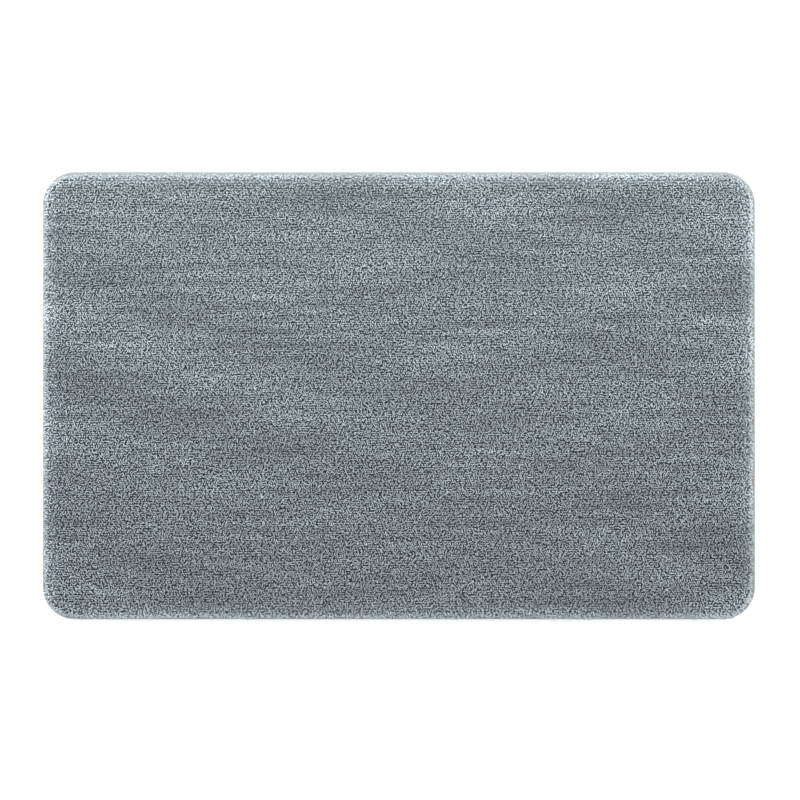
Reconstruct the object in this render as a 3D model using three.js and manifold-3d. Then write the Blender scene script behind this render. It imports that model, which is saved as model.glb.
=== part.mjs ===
// A tufted microfibre bath mat: a deep cut pile on a stack of backing sheets, with an overlocked edge.
// Millimetres, +Z up, +X along the mat's length. The origin is on the floor, under the mat's middle.
// The sheets, from the floor up: anti-slip rubber, latex that locks the tufts, woven cloth, pile.
// Three threads bind the edge: two loopers that wrap it, and the needle thread that holds them down.

import * as THREE from "three";
import { mergeVertices } from "three/addons/utils/BufferGeometryUtils.js";
import Module from "manifold-3d";

// The mat's outline
const MAT_LENGTH = 800;
const MAT_WIDTH = 503;
const CORNER_RADIUS = 37;

// The sheets, from the floor up
const ANTI_SLIP_THICKNESS = 2;
const LATEX_THICKNESS = 0.8;
const PRIMARY_BACKING_THICKNESS = 0.8;
const PILE_HEIGHT = 13.5;
const PILE_SHOULDER = 8; // the radius of the pile's rounded top edge

// The overlocked edge
const OVERLOCK_WIDTH = 5.5; // how far the stitches reach in from the edge
const LOOPER_THREAD_THICKNESS = 0.8;
const NEEDLE_THREAD_THICKNESS = 1;

const CLEARANCE = 0.3; // between pieces that lie on each other
const CORNER_SEGMENTS = 12;
const SHOULDER_SEGMENTS = 5;

// Heights that follow from the sheets
const LATEX_BOTTOM = ANTI_SLIP_THICKNESS + CLEARANCE;
const PRIMARY_BACKING_BOTTOM = LATEX_BOTTOM + LATEX_THICKNESS + CLEARANCE;
const PILE_BOTTOM = PRIMARY_BACKING_BOTTOM + PRIMARY_BACKING_THICKNESS + CLEARANCE;
const EDGE_TOP = PILE_BOTTOM + LOOPER_THREAD_THICKNESS;
const KNOT_HEIGHT = EDGE_TOP / 2; // where the two loopers meet, on the mat's rim

// Insets that follow from the edge's threads
const SHEET_INSET = LOOPER_THREAD_THICKNESS + CLEARANCE;
const NEEDLE_INSET = OVERLOCK_WIDTH + CLEARANCE;
const PILE_INSET = NEEDLE_INSET + NEEDLE_THREAD_THICKNESS + CLEARANCE;

const wasm = await Module();
wasm.setup();

// The mat's rounded rectangle, drawn in from its edge by inset.
function outline(inset, path = new THREE.Shape()) {
  const radius = CORNER_RADIUS - inset;
  const x = MAT_LENGTH / 2 - CORNER_RADIUS;
  const y = MAT_WIDTH / 2 - CORNER_RADIUS;
  const corners = [[x, y], [-x, y], [-x, -y], [x, -y]];
  corners.forEach(([cx, cy], quarter) => {
    const start = (quarter * Math.PI) / 2;
    path.absarc(cx, cy, radius, start, start + Math.PI / 2, false);
  });
  path.closePath();
  return path;
}

function extrude(shape, bottom, top) {
  const settings = { depth: top - bottom, bevelEnabled: false, curveSegments: CORNER_SEGMENTS };
  return new THREE.ExtrudeGeometry(shape, settings).translate(0, 0, bottom);
}

// A flat sheet with the mat's outline.
function sheet(inset, bottom, top) {
  return extrude(outline(inset), bottom, top);
}

// A frame that runs round the mat between two insets.
function frame(outerInset, innerInset, bottom, top) {
  const shape = outline(outerInset);
  shape.holes.push(outline(innerInset, new THREE.Path()));
  return extrude(shape, bottom, top);
}

function toSolid(geometry) {
  const bare = geometry.clone();
  bare.deleteAttribute("normal");
  bare.deleteAttribute("uv");
  const merged = mergeVertices(bare);
  return new wasm.Manifold(new wasm.Mesh({
    numProp: 3,
    vertProperties: merged.attributes.position.array,
    triVerts: merged.index.array,
  }));
}

function toGeometry(solid) {
  const { vertProperties, triVerts } = solid.getMesh();
  const geometry = new THREE.BufferGeometry();
  geometry.setAttribute("position", new THREE.BufferAttribute(vertProperties, 3));
  geometry.setIndex(new THREE.BufferAttribute(triVerts, 1));
  geometry.computeVertexNormals();
  return geometry;
}

function join(a, b) {
  return toGeometry(toSolid(a).add(toSolid(b)));
}

// The anti-slip rubber is full thickness inside the stitches and thinner over the lower looper.
function antiSlipBacking() {
  const rim = sheet(SHEET_INSET, LOOPER_THREAD_THICKNESS + CLEARANCE, ANTI_SLIP_THICKNESS);
  const middle = sheet(OVERLOCK_WIDTH + CLEARANCE, 0, ANTI_SLIP_THICKNESS);
  return join(rim, middle);
}

function latexCoat() {
  return sheet(SHEET_INSET, LATEX_BOTTOM, LATEX_BOTTOM + LATEX_THICKNESS);
}

function primaryBacking() {
  const top = PRIMARY_BACKING_BOTTOM + PRIMARY_BACKING_THICKNESS;
  return sheet(SHEET_INSET, PRIMARY_BACKING_BOTTOM, top);
}

// The pile is one block with a rounded top edge. It is rounded at both ends and then cut flat below.
function pile() {
  const shoulder = PILE_SHOULDER;
  const rounded = new THREE.ExtrudeGeometry(outline(PILE_INSET), {
    depth: PILE_HEIGHT - shoulder,
    bevelThickness: shoulder,
    bevelSize: shoulder,
    bevelOffset: -shoulder,
    bevelSegments: SHOULDER_SEGMENTS,
    curveSegments: CORNER_SEGMENTS,
  });
  const below = new THREE.BoxGeometry(MAT_LENGTH, MAT_WIDTH, 2 * shoulder);
  below.translate(0, 0, -shoulder);
  const block = toSolid(rounded).subtract(toSolid(below));
  return toGeometry(block).translate(0, 0, PILE_BOTTOM);
}

// A looper thread lies flat on one face of the edge and turns down, or up, its rim to the knots.
function upperLooper() {
  const wall = frame(0, LOOPER_THREAD_THICKNESS, KNOT_HEIGHT + CLEARANCE / 2, EDGE_TOP);
  const band = frame(0, OVERLOCK_WIDTH, PILE_BOTTOM, EDGE_TOP);
  return join(wall, band);
}

function lowerLooper() {
  const wall = frame(0, LOOPER_THREAD_THICKNESS, 0, KNOT_HEIGHT - CLEARANCE / 2);
  const band = frame(0, OVERLOCK_WIDTH, 0, LOOPER_THREAD_THICKNESS);
  return join(wall, band);
}

// The row of needle stitches that lies on the cloth, just inside the loopers.
function needleThread() {
  const inner = NEEDLE_INSET + NEEDLE_THREAD_THICKNESS;
  return frame(NEEDLE_INSET, inner, PILE_BOTTOM, PILE_BOTTOM + NEEDLE_THREAD_THICKNESS);
}

function named(name, geometry, color, roughness) {
  const material = new THREE.MeshStandardMaterial({ color, roughness, metalness: 0 });
  const mesh = new THREE.Mesh(geometry, material);
  mesh.name = name;
  return mesh;
}

const BLUE_GREY_MICROFIBRE = 0x7c868c;
const UNDYED_POLYPROPYLENE = 0xcfcdc6;
const CREAM_LATEX = 0xd9d2bf;
const GREY_RUBBER = 0xa5a9ab;
const LIGHT_GREY_THREAD = 0xbfc2c4;

const bathMat = new THREE.Group();
bathMat.add(
  named("anti_slip_backing", antiSlipBacking(), GREY_RUBBER, 0.7),
  named("latex_coat", latexCoat(), CREAM_LATEX, 0.6),
  named("primary_backing", primaryBacking(), UNDYED_POLYPROPYLENE, 0.9),
  named("pile", pile(), BLUE_GREY_MICROFIBRE, 1),
  named("overlock_lower_looper_thread", lowerLooper(), LIGHT_GREY_THREAD, 0.8),
  named("overlock_upper_looper_thread", upperLooper(), LIGHT_GREY_THREAD, 0.8),
  named("overlock_needle_thread", needleThread(), LIGHT_GREY_THREAD, 0.8),
);

export default bathMat;
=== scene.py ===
"""A blue-grey tufted microfibre bath mat with an overlocked edge, made round its CAD frame.

Metres, +Z up, +X along the mat. The pile leans towards -Y. A tuft and a stitch are each modelled
once and repeated by an Array, and then every copy is bent and set in its own place by moving its
vertices.
"""

import math

import bmesh
import bpy
import numpy as np
from mathutils import Matrix, Vector


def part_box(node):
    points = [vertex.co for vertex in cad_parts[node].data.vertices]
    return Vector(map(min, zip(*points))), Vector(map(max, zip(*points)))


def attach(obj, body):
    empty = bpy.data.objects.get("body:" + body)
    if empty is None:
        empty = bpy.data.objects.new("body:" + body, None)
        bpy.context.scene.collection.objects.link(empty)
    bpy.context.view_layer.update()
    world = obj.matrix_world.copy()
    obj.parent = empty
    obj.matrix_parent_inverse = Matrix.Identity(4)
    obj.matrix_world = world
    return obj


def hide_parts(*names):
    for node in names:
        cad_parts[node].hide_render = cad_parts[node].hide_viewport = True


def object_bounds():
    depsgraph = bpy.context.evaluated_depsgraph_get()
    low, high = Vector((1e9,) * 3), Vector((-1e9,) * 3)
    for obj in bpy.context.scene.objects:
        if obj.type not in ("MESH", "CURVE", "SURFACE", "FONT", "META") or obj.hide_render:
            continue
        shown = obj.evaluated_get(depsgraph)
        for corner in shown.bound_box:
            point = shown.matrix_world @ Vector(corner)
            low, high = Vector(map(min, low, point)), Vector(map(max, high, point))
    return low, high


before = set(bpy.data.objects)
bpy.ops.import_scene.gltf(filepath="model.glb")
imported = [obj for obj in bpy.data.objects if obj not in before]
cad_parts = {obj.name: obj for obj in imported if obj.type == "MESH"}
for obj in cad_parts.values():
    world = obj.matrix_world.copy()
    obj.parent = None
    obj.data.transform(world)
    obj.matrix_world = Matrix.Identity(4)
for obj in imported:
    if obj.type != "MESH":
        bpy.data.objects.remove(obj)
cad_low, cad_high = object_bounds()

MM = 0.001
BAKE_MAP = "OFBake"  # the name of the strands' and stitches' UV map
PAINTED_OPENNESS = "painted_openness"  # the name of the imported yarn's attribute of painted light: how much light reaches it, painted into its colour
ASLANT = Vector((1, 1, 1))  # a direction that no strand or stitch takes
MERGE_DISTANCE = 0.005 * MM
random = np.random.default_rng(20)

# The outline, and the heights of the sheets
HALF_LENGTH = cad_high.x
HALF_WIDTH = cad_high.y
CORNER_RADIUS = 37 * MM
CORNER_SEGMENTS = 12
OVERLOCK_WIDTH = 5.5 * MM
PILE_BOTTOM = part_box("pile")[0].z
BACKING_LOW, BACKING_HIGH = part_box("anti_slip_backing")
CLOTH_LOW, CLOTH_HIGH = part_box("primary_backing")
SHEET_INSET = HALF_LENGTH - CLOTH_HIGH.x

# The underside
FILM_THICKNESS = 0.8 * MM
DOT_PITCH = 11 * MM
DOT_RADIUS = 2.0 * MM
DOT_SIDES = 8
DOT_TAPER = 0.85  # the foot's radius as a share of the root's
DOT_ROUNDING = 0.25 * DOT_RADIUS
DOT_MARGIN = OVERLOCK_WIDTH + 2 * DOT_RADIUS  # from the rim to the outermost dots' middles

# The tufts. Each is a cut loop of yarn, which leaves two strands.
ROW_PITCH = 2.54 * MM  # ten rows to the inch, and the rows run along X
STITCH_PITCH = 5.0 * MM  # between the tufts of a row
ROW_SHIFT = 0.25  # how many stitches every other row is moved along
ROWS_IN_A_PIECE = 25
PILE_INSET = 5.9 * MM  # from the rim to the pile
RING_INSETS = (6.6 * MM, 8.2 * MM)  # of the rings of tufts next to the overlocked edge
RING_PITCH = 1.9 * MM  # between the strands of a ring
FIRST_ROW_INSET = 10.2 * MM
ROWS_INSET = 9.3 * MM  # of the outermost tuft in any of the straight rows
STRANDS = 2
STRAND_RADIUS = 0.78 * MM
STRAND_HEIGHT = 13.0 * MM  # above the backing, with its tip lying over
STRAND_SIDES = 3
STRAND_RINGS = ((0, 0), (0.5, 1), (0.68, 1), (0.84, 1), (0.96, 0.8), (1, 0))
ROOT_GAP = 0.3 * MM  # from the pile's bottom down to the backing, where the roots start
STEEPNESS = 1.7  # how early on its way a strand gains its height
HEIGHT_SPREAD = 0.03
LEAN_X, LEAN_Y = -0.7 * MM, -1.6 * MM  # which way the whole pile lies, at the tips
LEAN_DRIFT = 1.6 * MM  # how far the lean wanders over a hand's width
LEAN_SPREAD = 0.35 * MM  # and from strand to strand
ROOT_SPREAD = 0.3 * MM
REACH = 2.9 * MM  # how far a strand's end lies over in its own direction
REACH_RANGE = (0.7, 1.3)
BEND_OVER, BEND_BACK = 4, 3.4  # a strand first bows back from that direction, and then lies over
BOW = 4  # radians that it may curl sideways, over its whole length
BOW_MIDDLE = 0.8  # the share of its length where it points in its own direction
SPLAY = 2.8 * MM  # how far the outermost tufts lean outwards
SPLAY_FALL = 1.5  # how fast that fades away from the rim
RIM_DROP = 0.22  # the share of their height that the outermost strands lack
RIM_WIDTH = 16 * MM  # over which the pile rounds off towards the rim
RIM_BLOOM = 0.45  # how much thicker the outermost strands are, with nothing to press on them
BED_HEIGHT = 8.8 * MM  # below this the strands are packed too tightly to tell apart
BED_SHOULDER = 0.75 * BED_HEIGHT
BED_STEPS = 5  # round the shoulder
BED_INSET = PILE_INSET + 1.7 * MM
BED_RINGS = 5  # on its flat top, where the painted light in its colour fades inwards
BED_RING_WIDTH = 0.15 * RIM_WIDTH

# The strands' tones, from 0 to 1: a middle, the painted shade and light added to it, and the spread
# between strands
MIDDLE_SHADE = 0.34
PAINTED_ROW_SHADING = 0.12  # along the rows
PAINTED_PATCH_SHADING = 0.145  # painted shade and sheen along the rows, where the pile lies one way or the other
RIM_PAINTED_LIGHT = 0.07  # painted light: the outermost strands are painted paler, as the open pile there catches more light
TONE_SPREAD = 0.04
TONE_WIDTH = 0.008  # how much of the UV map's V one strand takes up
TONE_RANGE = (0.02, 0.97)

# The stitches
STITCH_LENGTH = 2.4 * MM
LOOPER_RADIUS = 0.5 * MM
NEEDLE_RADIUS = 0.3 * MM
THREAD_SIDES = 6
SHARP_ANGLE = math.radians(40)

# The camera
VIEW_WIDTH = 0.8980  # of the floor, from edge to edge
CAMERA_X, CAMERA_Y = 1.1 * MM, -5.3 * MM


# ---------------------------------------------------------------- meshes


def linked(name, bm):
    """A new object that holds bm's mesh."""
    mesh = bpy.data.meshes.new(name)
    bm.to_mesh(mesh)
    bm.free()
    piece = bpy.data.objects.new(name, mesh)
    bpy.context.scene.collection.objects.link(piece)
    return piece


def tube(bm, path, radii, sides, goes_on=False):
    """A tube through the points of path, which ends in a point where the radius is 0.

    One that goes on in the next copy has end rings that are turned alike, so that they can be
    merged. On the UV map, U goes from 0 to 1 along the tube and V goes from 0 to 1 round it.
    """
    uv = bm.loops.layers.uv.get(BAKE_MAP) or bm.loops.layers.uv.new(BAKE_MAP)
    ring = bmesh.ops.create_circle(bm, segments=sides, radius=1)["verts"]
    circle = [vert.co.copy() for vert in ring]
    places = {vert: (0, j) for j, vert in enumerate(ring)}
    faces = set()
    last = len(path) - 1
    for i, (point, radius) in enumerate(zip(path, radii)):
        if i > 0:
            edges = {e for v in ring for e in v.link_edges if e.other_vert(v) in ring}
            made = bmesh.ops.extrude_edge_only(bm, edges=list(edges))["geom"]
            new = [part for part in made if isinstance(part, bmesh.types.BMVert)]
            faces |= {part for part in made if isinstance(part, bmesh.types.BMFace)}
            for vert in new:
                others = (edge.other_vert(vert) for edge in vert.link_edges)
                old = next(other for other in others if other in ring)
                places[vert] = (i, places[old][1])
            ring = new
        ahead = path[min(i + 1, last)] - path[max(i - 1, 0)]
        if goes_on and i in (0, last):
            ahead = path[1] - path[0] + path[last] - path[last - 1]
        ahead.normalize()
        side = ASLANT.cross(ahead).normalized()
        turn = Matrix((side, ahead.cross(side), ahead)).transposed()
        for vert in ring:
            vert.co = point + turn @ (radius * circle[places[vert][1]])
    for face in faces:
        over_the_seam = {places[loop.vert][1] for loop in face.loops} == {0, sides - 1}
        for loop in face.loops:
            i, j = places[loop.vert]
            j += sides * (over_the_seam and j == 0)
            loop[uv].uv = (i / last, j / sides)


def repeated(unit, *steps):
    """The unit repeated by Arrays, each given as a count and a step."""
    for count, step in steps:
        array = unit.modifiers.new("repeat", "ARRAY")
        array.count = count
        array.use_relative_offset = False
        array.use_constant_offset = True
        array.constant_offset_displace = step
    evaluated = unit.evaluated_get(bpy.context.evaluated_depsgraph_get())
    mesh = bpy.data.meshes.new_from_object(evaluated)
    unit.modifiers.clear()
    unit.data = mesh
    return unit


def vertices(piece):
    places = np.empty(3 * len(piece.data.vertices), np.float32)
    piece.data.vertices.foreach_get("co", places)
    return places.reshape(-1, 3).astype(float)


def move_vertices(piece, places):
    piece.data.vertices.foreach_set("co", places.astype(np.float32).ravel())
    piece.data.update()


def clean(piece, keep=None):
    """Merges doubles, deletes the vertices that keep says no to and turns all faces outwards."""
    bm = bmesh.new()
    bm.from_mesh(piece.data)
    if keep is not None:
        bm.verts.ensure_lookup_table()
        lost = [bm.verts[i] for i in np.flatnonzero(~keep)]
        bmesh.ops.delete(bm, geom=lost, context="VERTS")
    bmesh.ops.remove_doubles(bm, verts=bm.verts, dist=MERGE_DISTANCE)
    bmesh.ops.recalc_face_normals(bm, faces=bm.faces)
    bm.to_mesh(piece.data)
    bm.free()


def finished(piece, material, slot, *nodes):
    """Gives a piece its material and its place in the frame. The yarn has no sharp edges."""
    piece.data.materials.clear()
    piece.data.materials.append(material)
    piece.data.shade_smooth()
    piece.data.set_sharp_from_angle(angle=math.pi if slot == "pile_yarn" else SHARP_ANGLE)
    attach(piece, "root")
    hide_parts(*nodes)
    return piece


# ---------------------------------------------------------------- the outline


def rim_length():
    straights = 4 * (HALF_LENGTH + HALF_WIDTH - 2 * CORNER_RADIUS)
    return straights + 2 * math.pi * CORNER_RADIUS


def on_rim(distance, inset):
    """X and Y of points at these distances round the rim and these insets from it."""
    halves = np.array([HALF_LENGTH, HALF_WIDTH, HALF_LENGTH, HALF_WIDTH]) - CORNER_RADIUS
    straights = 2 * np.roll(halves, 1)
    quarters = straights + CORNER_RADIUS * math.pi / 2
    starts = np.concatenate([[0], np.cumsum(quarters)[:3]])
    distance = distance % rim_length()
    quarter = np.searchsorted(starts, distance, side="right") - 1
    along = distance - starts[quarter]
    straight = straights[quarter]
    bend = np.maximum(along - straight, 0) / CORNER_RADIUS
    out = halves[quarter] + (CORNER_RADIUS - inset) * np.cos(bend)
    side = np.minimum(along, straight) - straight / 2 + (CORNER_RADIUS - inset) * np.sin(bend)
    turn = quarter * math.pi / 2
    return out * np.cos(turn) - side * np.sin(turn), out * np.sin(turn) + side * np.cos(turn)


def from_rim(x, y):
    """How far points lie inside the rim, and the X and Y of the way out."""
    past_x = np.abs(x) - (HALF_LENGTH - CORNER_RADIUS)
    past_y = np.abs(y) - (HALF_WIDTH - CORNER_RADIUS)
    round_x, round_y = np.maximum(past_x, 0), np.maximum(past_y, 0)
    reach = np.hypot(round_x, round_y)
    inset = CORNER_RADIUS - reach - np.minimum(np.maximum(past_x, past_y), 0)
    in_corner = (round_x > 0) & (round_y > 0)
    size = np.maximum(reach, 1e-9)
    out_x = np.where(in_corner, round_x / size, past_x > past_y)
    out_y = np.where(in_corner, round_y / size, past_x <= past_y)
    return inset, out_x * np.sign(x), out_y * np.sign(y)


def outlined(inset):
    """A bmesh that holds one face: the mat's outline, this far in from its rim."""
    bm = bmesh.new()
    bmesh.ops.create_grid(bm, x_segments=1, y_segments=1, size=1)
    bmesh.ops.scale(bm, vec=(HALF_LENGTH - inset, HALF_WIDTH - inset, 1), verts=bm.verts)
    bmesh.ops.bevel(
        bm,
        geom=bm.verts[:],
        offset=CORNER_RADIUS - inset,
        offset_type="OFFSET",
        segments=CORNER_SEGMENTS,
        profile=0.5,
        affect="VERTICES",
        material=-1,
    )
    return bm


def raised(bm, faces, bottom, height):
    """Makes flat faces a solid from bottom up, and returns its top faces."""
    bmesh.ops.translate(bm, vec=(0, 0, bottom), verts=bm.verts)
    made = bmesh.ops.extrude_face_region(bm, geom=faces, use_keep_orig=True)["geom"]
    lifted = [part for part in made if isinstance(part, bmesh.types.BMVert)]
    bmesh.ops.translate(bm, vec=(0, 0, height), verts=lifted)
    return [part for part in made if isinstance(part, bmesh.types.BMFace)]


# ---------------------------------------------------------------- the sheets below the pile


def backing_cloth(material):
    """The woven cloth that the tufts are punched through."""
    bm = outlined(SHEET_INSET)
    raised(bm, bm.faces[:], CLOTH_LOW.z, CLOTH_HIGH.z - CLOTH_LOW.z)
    bmesh.ops.recalc_face_normals(bm, faces=bm.faces)
    piece = finished(linked("backing_cloth", bm), material, "backing_cloth", "primary_backing")


def grip_dot():
    """One low round dot, from inside the film down to the floor."""
    bm = bmesh.new()
    height = BACKING_HIGH.z - BACKING_LOW.z - 0.5 * FILM_THICKNESS
    bmesh.ops.create_cone(
        bm,
        cap_ends=True,
        segments=DOT_SIDES,
        radius1=DOT_TAPER * DOT_RADIUS,
        radius2=DOT_RADIUS,
        depth=height,
    )
    bmesh.ops.translate(bm, vec=(0, 0, BACKING_LOW.z + height / 2), verts=bm.verts)
    low = [edge for edge in bm.edges if all(v.co.z < height / 2 for v in edge.verts)]
    bmesh.ops.bevel(
        bm,
        geom=low,
        offset=DOT_ROUNDING,
        offset_type="OFFSET",
        segments=1,
        profile=0.5,
        affect="EDGES",
        material=-1,
    )
    return bm


def anti_slip_film(material):
    """A moulded film with rows of grip dots, every other row moved half a step along."""
    rise = DOT_PITCH * math.sqrt(3) / 2
    columns = int(2 * (HALF_LENGTH - DOT_MARGIN) / DOT_PITCH) + 2
    rows = 2 * int((HALF_WIDTH - DOT_MARGIN) / rise) + 1
    unit = linked("anti_slip_film", grip_dot())
    size = len(unit.data.vertices)
    piece = repeated(unit, (columns, (DOT_PITCH, 0, 0)), (rows, (0, rise, 0)))
    row = np.repeat(np.arange(rows), columns)
    column = np.tile(np.arange(columns), rows)
    first_x = -(columns - 1) / 2 * DOT_PITCH
    first_y = -(rows - 1) / 2 * rise
    moved = (row % 2 - 0.5) * DOT_PITCH / 2
    places = vertices(piece)
    places[:, 0] += first_x + np.repeat(moved, size)
    places[:, 1] += first_y
    move_vertices(piece, places)
    inset = from_rim(first_x + column * DOT_PITCH + moved, first_y + row * rise)[0]
    clean(piece, np.repeat(inset >= DOT_MARGIN, size))

    film = outlined(SHEET_INSET)
    raised(film, film.faces[:], BACKING_HIGH.z - FILM_THICKNESS, FILM_THICKNESS)
    film.from_mesh(piece.data)
    bmesh.ops.recalc_face_normals(film, faces=film.faces)
    film.to_mesh(piece.data)
    film.free()
    finished(piece, material, "anti_slip_rubber", "anti_slip_backing")


# ---------------------------------------------------------------- the pile


def drift(x, y, waves):
    """A smooth random field from -1 to 1: a sum of waves given as (X length, Y length, phase)."""
    total = sum(
        np.sin(math.tau * (x / long_x + y / long_y) + phase) for long_x, long_y, phase in waves
    )
    return total / len(waves)


def random_waves(count, long_x, long_y):
    """Waves with lengths of either sign, round the given sizes."""
    spread = random.uniform(0.6, 1.8, (count, 2)) * random.choice([-1, 1], (count, 2))
    phases = random.uniform(0, math.tau, count)
    return [(long_x * a, long_y * b, phase) for (a, b), phase in zip(spread, phases)]


LEAN_X_WAVES = random_waves(9, 110 * MM, 35 * MM)
LEAN_Y_WAVES = random_waves(9, 110 * MM, 35 * MM)
PAINTED_ROW_SHADING_WAVES = random_waves(14, 360 * MM, 14 * MM)
PAINTED_PATCH_SHADING_WAVES = random_waves(10, 300 * MM, 85 * MM)


def rim_share(inset):
    """From 1 at the outermost tufts to 0 where the pile no longer notices the rim."""
    return np.clip(1 - (inset - PILE_INSET) / RIM_WIDTH, 0, 1)


def tuft_unit():
    """One tuft: straight strands side by side, which are bent later."""
    bm = bmesh.new()
    for strand in range(STRANDS):
        path = [Vector((strand, 0, share)) for share, _ in STRAND_RINGS]
        tube(bm, path, [girth * STRAND_RADIUS for _, girth in STRAND_RINGS], STRAND_SIDES)
    bmesh.ops.remove_doubles(bm, verts=bm.verts, dist=MERGE_DISTANCE)
    bmesh.ops.recalc_face_normals(bm, faces=bm.faces)
    return bm


def strand_path(share, root_x, root_y, lean_x, lean_y, reach, angle, bow, height):
    """X, Y and Z, from the backing, of the point at this share of each strand's length.

    A strand stands up, leans as its neighbours do, and lies over at its end in its own direction.
    """
    lying = BEND_OVER * share**3 - BEND_BACK * share**2
    swung = angle + bow * (share - BOW_MIDDLE)
    x = root_x + lean_x * share**2 + reach * lying * np.cos(swung)
    y = root_y + lean_y * share**2 + reach * lying * np.sin(swung)
    return np.stack([x, y, height * (1 - np.maximum(1 - share, 0) ** STEEPNESS)], axis=-1)


def pile_piece(name, root_x, root_y, least_inset, material):
    """A piece of the pile. The roots' places have a row per tuft and a column per strand."""
    unit = linked(name, tuft_unit())
    local = vertices(unit)
    strand = np.rint(local[:, 0]).astype(int)
    share = local[:, 2]
    count = len(root_x)
    piece = repeated(unit, (count, (0, 0, 0)))

    # Near the rim nothing holds the tufts up, so they splay outwards and show more of their tips.
    inset, out_x, out_y = from_rim(root_x, root_y)
    rim = rim_share(inset)
    splay = SPLAY * rim**SPLAY_FALL
    lean_x = LEAN_X + LEAN_DRIFT * drift(root_x, root_y, LEAN_X_WAVES) + splay * out_x
    lean_y = LEAN_Y + LEAN_DRIFT * drift(root_x, root_y, LEAN_Y_WAVES) + splay * out_y
    # The tone carries painted shade and sheen along the rows and in patches, and painted light near
    # the rim.
    shade = MIDDLE_SHADE + PAINTED_ROW_SHADING * drift(root_x, root_y, PAINTED_ROW_SHADING_WAVES)
    shade += PAINTED_PATCH_SHADING * drift(root_x, root_y, PAINTED_PATCH_SHADING_WAVES) + RIM_PAINTED_LIGHT * rim

    def some(low, high):
        return random.uniform(low, high, (count, STRANDS))

    def about(middle, spread):
        return random.normal(middle, spread, (count, STRANDS))

    strands = (
        root_x + (1 + rim) * about(0, ROOT_SPREAD),
        root_y + (1 + rim) * about(0, ROOT_SPREAD),
        lean_x + about(0, LEAN_SPREAD),
        lean_y + about(0, LEAN_SPREAD),
        REACH * some(*REACH_RANGE),
        some(0, math.tau),
        some(-BOW, BOW),
        STRAND_HEIGHT * about(1, HEIGHT_SPREAD) * (1 - RIM_DROP * rim**2),
    )
    values = [value[:, strand] for value in strands]
    step = 0.02  # along a strand, to tell which way it points
    tangent = strand_path(share + step, *values) - strand_path(share - step, *values)
    tangent /= np.linalg.norm(tangent, axis=-1, keepdims=True)
    side = np.cross([0.0, 1.0, 0.0], tangent)
    side /= np.linalg.norm(side, axis=-1, keepdims=True)
    front = np.cross(tangent, side)
    bloom = 1 + RIM_BLOOM * rim[:, strand, None] ** 2
    places = strand_path(share, *values)
    places += bloom * (side * (local[:, :1] - strand[:, None]) + front * local[:, 1:2])
    places[..., 2] += PILE_BOTTOM - ROOT_GAP
    move_vertices(piece, places.reshape(-1, 3))

    # V becomes the strand's tone, with its painted shade and light, which the material reads.
    tone = np.clip(shade + about(0, TONE_SPREAD), *TONE_RANGE)[:, strand].ravel()
    loops = len(piece.data.loops)
    uv = np.empty(2 * loops, np.float32)
    layer = piece.data.uv_layers[BAKE_MAP]
    layer.uv.foreach_get("vector", uv)
    uv = uv.reshape(-1, 2)
    corner = np.empty(loops, np.int32)
    piece.data.loops.foreach_get("vertex_index", corner)
    uv[:, 1] = tone[corner] + TONE_WIDTH * uv[:, 1]
    layer.uv.foreach_set("vector", uv.ravel())

    clean(piece, (inset >= least_inset)[:, strand].ravel())
    return finished(piece, material, "pile_yarn", "pile")


def pile_bed(material):
    """The strands' lower parts, where they are packed into one mass with a rounded shoulder."""
    bm = outlined(BED_INSET)
    top = raised(bm, bm.faces[:], PILE_BOTTOM, BED_HEIGHT - BED_SHOULDER)
    for step in range(BED_STEPS):
        here, there = (math.pi / 2 * (step + more) / BED_STEPS for more in (0, 1))
        inwards = BED_SHOULDER * (math.cos(here) - math.cos(there))
        upwards = BED_SHOULDER * (math.sin(there) - math.sin(here))
        bmesh.ops.inset_region(bm, faces=top, thickness=inwards, use_even_offset=True)
        bmesh.ops.translate(bm, vec=(0, 0, upwards), verts=list({v for f in top for v in f.verts}))
    for _ in range(BED_RINGS):
        bmesh.ops.inset_region(bm, faces=top, thickness=BED_RING_WIDTH, use_even_offset=True)
    bmesh.ops.recalc_face_normals(bm, faces=bm.faces)
    piece = linked("packed_yarn_bed", bm)
    # Painted light: the bed is painted paler towards the rim, where more light reaches it.
    places = vertices(piece)
    rim = rim_share(from_rim(places[:, 0], places[:, 1])[0])
    piece.data.attributes.new(PAINTED_OPENNESS, "FLOAT", "POINT").data.foreach_set("value", rim**2)
    return finished(piece, material, "pile_yarn", "pile")


def edge_tufts(material):
    """Rings of tufts that close up against the overlocked edge."""
    count = round(rim_length() / (STRANDS * RING_PITCH))
    pitch = rim_length() / (STRANDS * count)
    distance = pitch * np.arange(STRANDS * count).reshape(count, STRANDS)
    rings = [on_rim(distance + ring * pitch / 2, inset) for ring, inset in enumerate(RING_INSETS)]
    root_x, root_y = (np.concatenate(places) for places in zip(*rings))
    return pile_piece("pile_edge_tufts", root_x, root_y, PILE_INSET, material)


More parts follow.
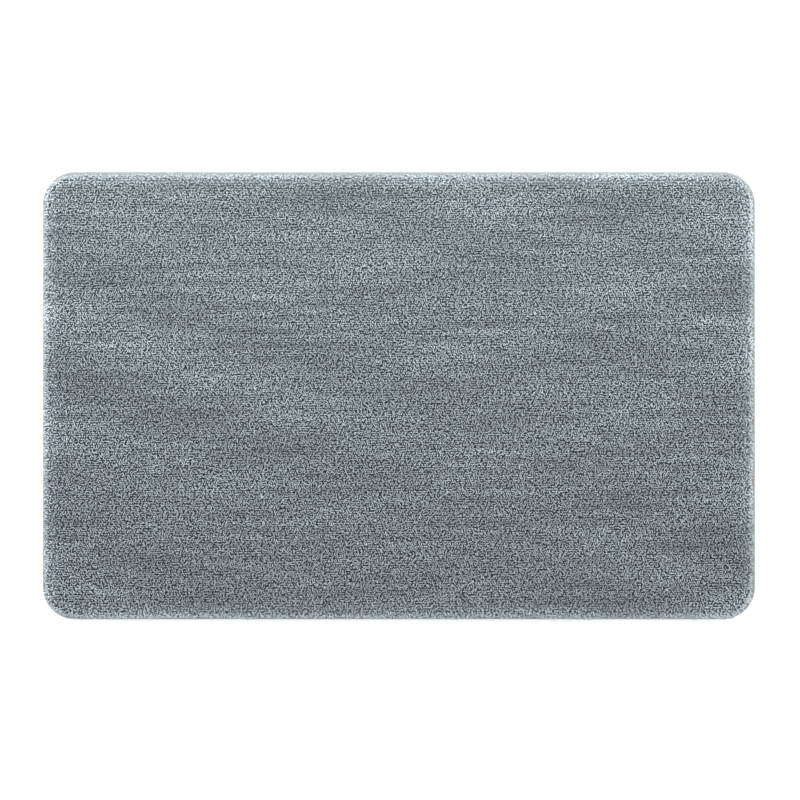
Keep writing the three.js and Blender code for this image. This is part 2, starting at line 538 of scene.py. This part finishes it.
def pile(material):
    """The edge tufts, and the straight rows in pieces of a few rows each."""
    across = 2 * (HALF_WIDTH - FIRST_ROW_INSET)
    row_count = round(across / ROW_PITCH) + 1
    tufts_in_a_row = int(2 * (HALF_LENGTH - PILE_INSET) / STITCH_PITCH) + 2
    beside = (np.arange(STRANDS) - (STRANDS - 1) / 2) * STITCH_PITCH / STRANDS
    pieces = [edge_tufts(material)]
    for number, first_row in enumerate(range(0, row_count, ROWS_IN_A_PIECE), 1):
        rows = np.arange(first_row, min(first_row + ROWS_IN_A_PIECE, row_count))
        row = np.repeat(rows, tufts_in_a_row)[:, None]
        column = np.tile(np.arange(tufts_in_a_row), len(rows))[:, None]
        moved = ROW_SHIFT * (row % 2 - 0.5)
        root_x = (column - (tufts_in_a_row - 1) / 2 + moved) * STITCH_PITCH
        root_y = (row / (row_count - 1) - 0.5) * across
        root_x, root_y = root_x + beside, root_y + 0 * beside
        pieces.append(pile_piece(f"pile_rows_{number}", root_x, root_y, ROWS_INSET, material))
    return pieces


# ---------------------------------------------------------------- the overlocked edge


def stitched(name, points, radius, count, material, *nodes):
    """A thread of count stitches round the rim. A stitch's points are (along, inset, height)."""
    length = rim_length() / count
    path = [Vector((along * length, inset, height)) for along, inset, height in points]
    bm = bmesh.new()
    tube(bm, path, [radius] * len(path), THREAD_SIDES, goes_on=True)
    size = len(bm.verts)
    piece = repeated(linked(name, bm), (count, (0, 0, 0)))
    places = vertices(piece)
    places[:, 0] += length * np.repeat(np.arange(count), size)
    places[:, 0], places[:, 1] = on_rim(places[:, 0], places[:, 1])
    move_vertices(piece, places)
    clean(piece)
    return finished(piece, material, "overlock_thread", *nodes)


def overlock(material):
    """The edge's three threads. The loopers meet in a knot halfway up the rim."""
    count = round(rim_length() / STITCH_LENGTH)
    lie = LOOPER_RADIUS
    top = PILE_BOTTOM + lie
    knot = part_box("overlock_lower_looper_thread")[1].z
    inner = OVERLOCK_WIDTH - lie
    upper = stitched(
        "upper_looper_stitches",
        [
            (0.00, inner, top),
            (0.10, 0.80 * inner, top + 0.25 * MM),
            (0.28, 0.35 * inner, top + 0.15 * MM),
            (0.40, lie, top - 0.35 * MM),
            (0.50, 0.8 * lie, knot + 0.2 * MM),
            (0.60, lie, top - 0.35 * MM),
            (0.72, 0.35 * inner, top + 0.15 * MM),
            (0.90, 0.80 * inner, top + 0.25 * MM),
            (1.00, inner, top),
        ],
        LOOPER_RADIUS,
        count,
        material,
        "overlock_upper_looper_thread",
    )
    lower = stitched(
        "lower_looper_stitches",
        [
            (0.00, inner, lie),
            (0.20, 0.60 * inner, lie),
            (0.42, 1.6 * lie, lie),
            (0.50, 0.8 * lie, knot - 0.4 * MM),
            (0.58, 1.6 * lie, lie),
            (0.80, 0.60 * inner, lie),
            (1.00, inner, lie),
        ],
        LOOPER_RADIUS,
        count,
        material,
        "overlock_lower_looper_thread",
    )
    line = OVERLOCK_WIDTH + NEEDLE_RADIUS
    needle = stitched(
        "needle_stitches",
        [
            (0.00, line, PILE_BOTTOM - 0.2 * MM),
            (0.12, line, PILE_BOTTOM + 1.2 * NEEDLE_RADIUS),
            (0.35, line, PILE_BOTTOM + 1.8 * NEEDLE_RADIUS),
            (0.65, line, PILE_BOTTOM + 1.8 * NEEDLE_RADIUS),
            (0.88, line, PILE_BOTTOM + 1.2 * NEEDLE_RADIUS),
            (1.00, line, PILE_BOTTOM - 0.2 * MM),
        ],
        NEEDLE_RADIUS,
        count,
        material,
        "overlock_needle_thread",
    )
    return [upper, lower, needle]


# ---------------------------------------------------------------- materials


def linear(code):
    """A linear RGBA from an sRGB hex value."""
    channels = [int(code[i : i + 2], 16) / 255 for i in (1, 3, 5)]
    return [c / 12.92 if c <= 0.04045 else ((c + 0.055) / 1.055) ** 2.4 for c in channels] + [1.0]


def node(tree, kind, inputs=None, **settings):
    """Adds a node. Each input is a value, or the socket that feeds it."""
    made = tree.nodes.new(kind)
    for name, value in settings.items():
        setattr(made, name, value)
    for name, value in (inputs or {}).items():
        if isinstance(value, bpy.types.NodeSocket):
            tree.links.new(value, made.inputs[name])
        else:
            made.inputs[name].default_value = value
    return made


def new_material(name):
    material = bpy.data.materials.new(name)
    material.use_nodes = True
    return material, material.node_tree, material.node_tree.nodes["Principled BSDF"]


def cut_microfibre_yarn():
    """Solution-dyed polyester microfibre, twisted, heat-set and cut.

    It is matt, with a soft sheen, and its dark roots and pale tips are painted shade deep in the
    pile.
    U is the share of a strand's length, from its dark root to its pale tip, and V is its tone. A
    strand of a paler tone is pale further down.
    """
    material, tree, shader = new_material("cut_microfibre_yarn")
    uv = node(tree, "ShaderNodeUVMap", uv_map=BAKE_MAP)
    parts = node(tree, "ShaderNodeSeparateXYZ", {"Vector": uv.outputs["UV"]})
    along = node(
        tree,
        "ShaderNodeMath",
        {0: parts.outputs["Y"], 1: 0.8, 2: parts.outputs["X"]},
        operation="MULTIPLY_ADD",
    )
    root_to_tip_painted_shade = node(
        tree,
        "ShaderNodeMapRange",
        {"Value": along.outputs[0], "From Min": 0.67, "From Max": 1.12},
    )
    # Painted shade: dark at the root and pale at the tip, standing in for the shade deep in the
    # pile.
    ramp = node(tree, "ShaderNodeValToRGB", {"Fac": root_to_tip_painted_shade.outputs["Result"]})
    ramp.color_ramp.elements[0].color = linear("#737E84")
    ramp.color_ramp.elements[1].color = linear("#A1ABB0")
    tone = node(
        tree,
        "ShaderNodeMapRange",
        {"Value": parts.outputs["Y"], "To Min": 0.5, "To Max": 2.0},
    )
    tinted = node(
        tree,
        "ShaderNodeVectorMath",
        {0: ramp.outputs["Color"], "Scale": tone.outputs["Result"]},
        operation="SCALE",
    )
    tree.links.new(tinted.outputs["Vector"], shader.inputs["Base Color"])
    shader.inputs["Roughness"].default_value = 0.9
    shader.inputs["Specular IOR Level"].default_value = 0.2
    shader.inputs["Sheen Weight"].default_value = 0.35
    shader.inputs["Sheen Roughness"].default_value = 0.45
    shader.inputs["Sheen Tint"].default_value = linear("#DADEE2")
    return material


def packed_yarn():
    """The same yarn deep in the pile, packed in bundled clumps. It is painted dark as shade, and
    painted light makes it paler at the mat's edge.
    """
    material, tree, shader = new_material("packed_microfibre_yarn")
    place = node(tree, "ShaderNodeTexCoord")
    noise = node(
        tree, "ShaderNodeTexNoise", {"Vector": place.outputs["Object"], "Scale": 1 / (2 * MM)}
    )
    painted_openness = node(tree, "ShaderNodeAttribute", attribute_name=PAINTED_OPENNESS)
    bundle_noise_and_painted_light = node(
        tree,
        "ShaderNodeMath",
        {0: noise.outputs["Fac"], 1: 0.6, 2: painted_openness.outputs["Fac"]},
        operation="MULTIPLY_ADD",
    )
    # Painted shade: the bed is painted far darker than the strands' yarn; its pale end is painted
    # light at the rim.
    ramp = node(tree, "ShaderNodeValToRGB", {"Fac": bundle_noise_and_painted_light.outputs[0]})
    ramp.color_ramp.elements[0].position = 0.2
    ramp.color_ramp.elements[0].color = linear("#3C454A")
    ramp.color_ramp.elements[1].position = 1.0
    ramp.color_ramp.elements[1].color = linear("#8D969A")
    bump = node(tree, "ShaderNodeBump", {"Height": noise.outputs["Fac"], "Distance": 1.5 * MM})
    tree.links.new(ramp.outputs["Color"], shader.inputs["Base Color"])
    tree.links.new(bump.outputs["Normal"], shader.inputs["Normal"])
    shader.inputs["Roughness"].default_value = 1.0
    shader.inputs["Specular IOR Level"].default_value = 0.1
    return material


def spun_polyester_thread():
    """Light grey textured polyester in three plies, matt, with a fine slant where they turn."""
    material, tree, shader = new_material("spun_polyester_thread")
    uv = node(tree, "ShaderNodeUVMap", uv_map=BAKE_MAP)
    parts = node(tree, "ShaderNodeSeparateXYZ", {"Vector": uv.outputs["UV"]})
    along = node(tree, "ShaderNodeMath", {0: parts.outputs["X"], 1: 4.0}, operation="MULTIPLY")
    slant = node(
        tree, "ShaderNodeMath", {0: along.outputs[0], 1: parts.outputs["Y"]}, operation="ADD"
    )
    turns = node(
        tree, "ShaderNodeMath", {0: slant.outputs[0], 1: 3 * math.tau}, operation="MULTIPLY"
    )
    wave = node(tree, "ShaderNodeMath", {0: turns.outputs[0]}, operation="SINE")
    ply = node(tree, "ShaderNodeMapRange", {"Value": wave.outputs[0], "From Min": -1.0})
    ramp = node(tree, "ShaderNodeValToRGB", {"Fac": ply.outputs["Result"]})
    ramp.color_ramp.elements[0].color = linear("#92989B")
    ramp.color_ramp.elements[1].color = linear("#AFB5B8")
    bump = node(tree, "ShaderNodeBump", {"Height": ply.outputs["Result"], "Distance": 0.1 * MM})
    tree.links.new(ramp.outputs["Color"], shader.inputs["Base Color"])
    tree.links.new(bump.outputs["Normal"], shader.inputs["Normal"])
    shader.inputs["Roughness"].default_value = 0.8
    shader.inputs["Specular IOR Level"].default_value = 0.25
    return material


def woven_polypropylene():
    """Undyed flat tapes in a plain weave, with a dull gleam along each tape.

    The tapes are 2 mm wide, and each passes over one and under the next.
    """
    material, tree, shader = new_material("woven_polypropylene")
    place = node(tree, "ShaderNodeTexCoord")
    crossing = node(
        tree,
        "ShaderNodeTexChecker",
        {"Vector": place.outputs["Object"], "Scale": 1 / (2 * MM)},
    )
    crossing.inputs["Color1"].default_value = linear("#B9BAB6")
    crossing.inputs["Color2"].default_value = linear("#A6A7A3")
    bump = node(
        tree,
        "ShaderNodeBump",
        {"Height": crossing.outputs["Fac"], "Distance": 0.15 * MM, "Strength": 0.6},
    )
    tree.links.new(crossing.outputs["Color"], shader.inputs["Base Color"])
    tree.links.new(bump.outputs["Normal"], shader.inputs["Normal"])
    shader.inputs["Roughness"].default_value = 0.5
    return material


def brushed_latex():
    """Off-white chalk-filled latex, spread over the tufts' backs and cured.

    It is a dull skin with slight runs.
    """
    material, tree, shader = new_material("brushed_latex")
    place = node(tree, "ShaderNodeTexCoord")
    runs = node(
        tree,
        "ShaderNodeTexNoise",
        {"Vector": place.outputs["Object"], "Scale": 1 / (9 * MM), "Detail": 4.0},
    )
    ramp = node(tree, "ShaderNodeValToRGB", {"Fac": runs.outputs["Fac"]})
    ramp.color_ramp.elements[0].color = linear("#C9C7BF")
    ramp.color_ramp.elements[1].color = linear("#DAD8D1")
    bump = node(tree, "ShaderNodeBump", {"Height": runs.outputs["Fac"], "Distance": 0.3 * MM})
    tree.links.new(ramp.outputs["Color"], shader.inputs["Base Color"])
    tree.links.new(bump.outputs["Normal"], shader.inputs["Normal"])
    shader.inputs["Roughness"].default_value = 0.55
    return material


def moulded_thermoplastic_rubber():
    """Pale grey thermoplastic rubber, moulded on a fine-grained roll. Matt and slightly mottled."""
    material, tree, shader = new_material("moulded_thermoplastic_rubber")
    place = node(tree, "ShaderNodeTexCoord")
    mottle = node(
        tree,
        "ShaderNodeTexNoise",
        {"Vector": place.outputs["Object"], "Scale": 1 / (30 * MM), "Detail": 5.0},
    )
    grain = node(
        tree,
        "ShaderNodeTexNoise",
        {"Vector": place.outputs["Object"], "Scale": 1 / (0.8 * MM), "Detail": 2.0},
    )
    ramp = node(tree, "ShaderNodeValToRGB", {"Fac": mottle.outputs["Fac"]})
    ramp.color_ramp.elements[0].position = 0.3
    ramp.color_ramp.elements[0].color = linear("#9DA1A3")
    ramp.color_ramp.elements[1].position = 0.7
    ramp.color_ramp.elements[1].color = linear("#ADB1B3")
    rough = node(
        tree, "ShaderNodeMapRange", {"Value": grain.outputs["Fac"], "To Min": 0.55, "To Max": 0.8}
    )
    bump = node(tree, "ShaderNodeBump", {"Height": grain.outputs["Fac"], "Distance": 0.06 * MM})
    tree.links.new(ramp.outputs["Color"], shader.inputs["Base Color"])
    tree.links.new(rough.outputs["Result"], shader.inputs["Roughness"])
    tree.links.new(bump.outputs["Normal"], shader.inputs["Normal"])
    return material


# ---------------------------------------------------------------- the studio


def area_light(name, place, target, width, height, power):
    light = bpy.data.lights.new(name, "AREA")
    light.shape = "RECTANGLE"
    light.size, light.size_y = width, height
    light.energy = power
    holder = bpy.data.objects.new(name, light)
    holder.location = place
    holder.rotation_euler = (Vector(target) - Vector(place)).to_track_quat("-Z", "Y").to_euler()
    bpy.context.scene.collection.objects.link(holder)


def studio():
    """A white room with a long light behind the mat and a small one at either end."""
    scene = bpy.context.scene
    scene.view_settings.view_transform = "Standard"
    scene.view_settings.look = "None"
    world = bpy.data.worlds.new("studio")
    scene.world = world
    world.use_nodes = True
    sky = world.node_tree.nodes["Background"]
    sky.inputs["Color"].default_value = (1, 1, 1, 1)
    sky.inputs["Strength"].default_value = 1.0
    area_light("key", (0, 0.52, 0.66), (0, 0, 0), 2.6, 0.2, 19)
    area_light("left", (-0.95, -0.05, 0.25), (-0.4, -0.05, 0), 0.8, 0.2, 1.6)
    area_light("right", (0.95, -0.05, 0.25), (0.4, -0.05, 0), 0.8, 0.2, 1.6)

    bm = bmesh.new()
    bmesh.ops.create_grid(bm, x_segments=1, y_segments=1, size=8)
    bmesh.ops.translate(bm, vec=(0, 0, -0.1 * MM), verts=bm.verts)
    floor = linked("floor", bm)
    material, tree, shader = new_material("white_seamless_paper")
    shader.inputs["Base Color"].default_value = linear("#F8F8F8")
    shader.inputs["Roughness"].default_value = 0.9
    shader.inputs["Emission Color"].default_value = (1, 1, 1, 1)
    shader.inputs["Emission Strength"].default_value = 0.25
    floor.data.materials.append(material)

    camera = bpy.data.cameras.new("camera")
    camera.lens = 200
    camera.sensor_width = 36
    holder = bpy.data.objects.new("camera", camera)
    holder.location = (CAMERA_X, CAMERA_Y, VIEW_WIDTH * camera.lens / camera.sensor_width)
    bpy.context.scene.collection.objects.link(holder)
    scene.camera = holder


yarn = cut_microfibre_yarn()
thread = spun_polyester_thread()
tufts = pile(yarn)
bed = pile_bed(packed_yarn())
stitches = overlock(thread)
backing_cloth(woven_polypropylene())
anti_slip_film(moulded_thermoplastic_rubber())
bpy.data.objects["latex_coat"].material_slots[0].material = brushed_latex()
studio()
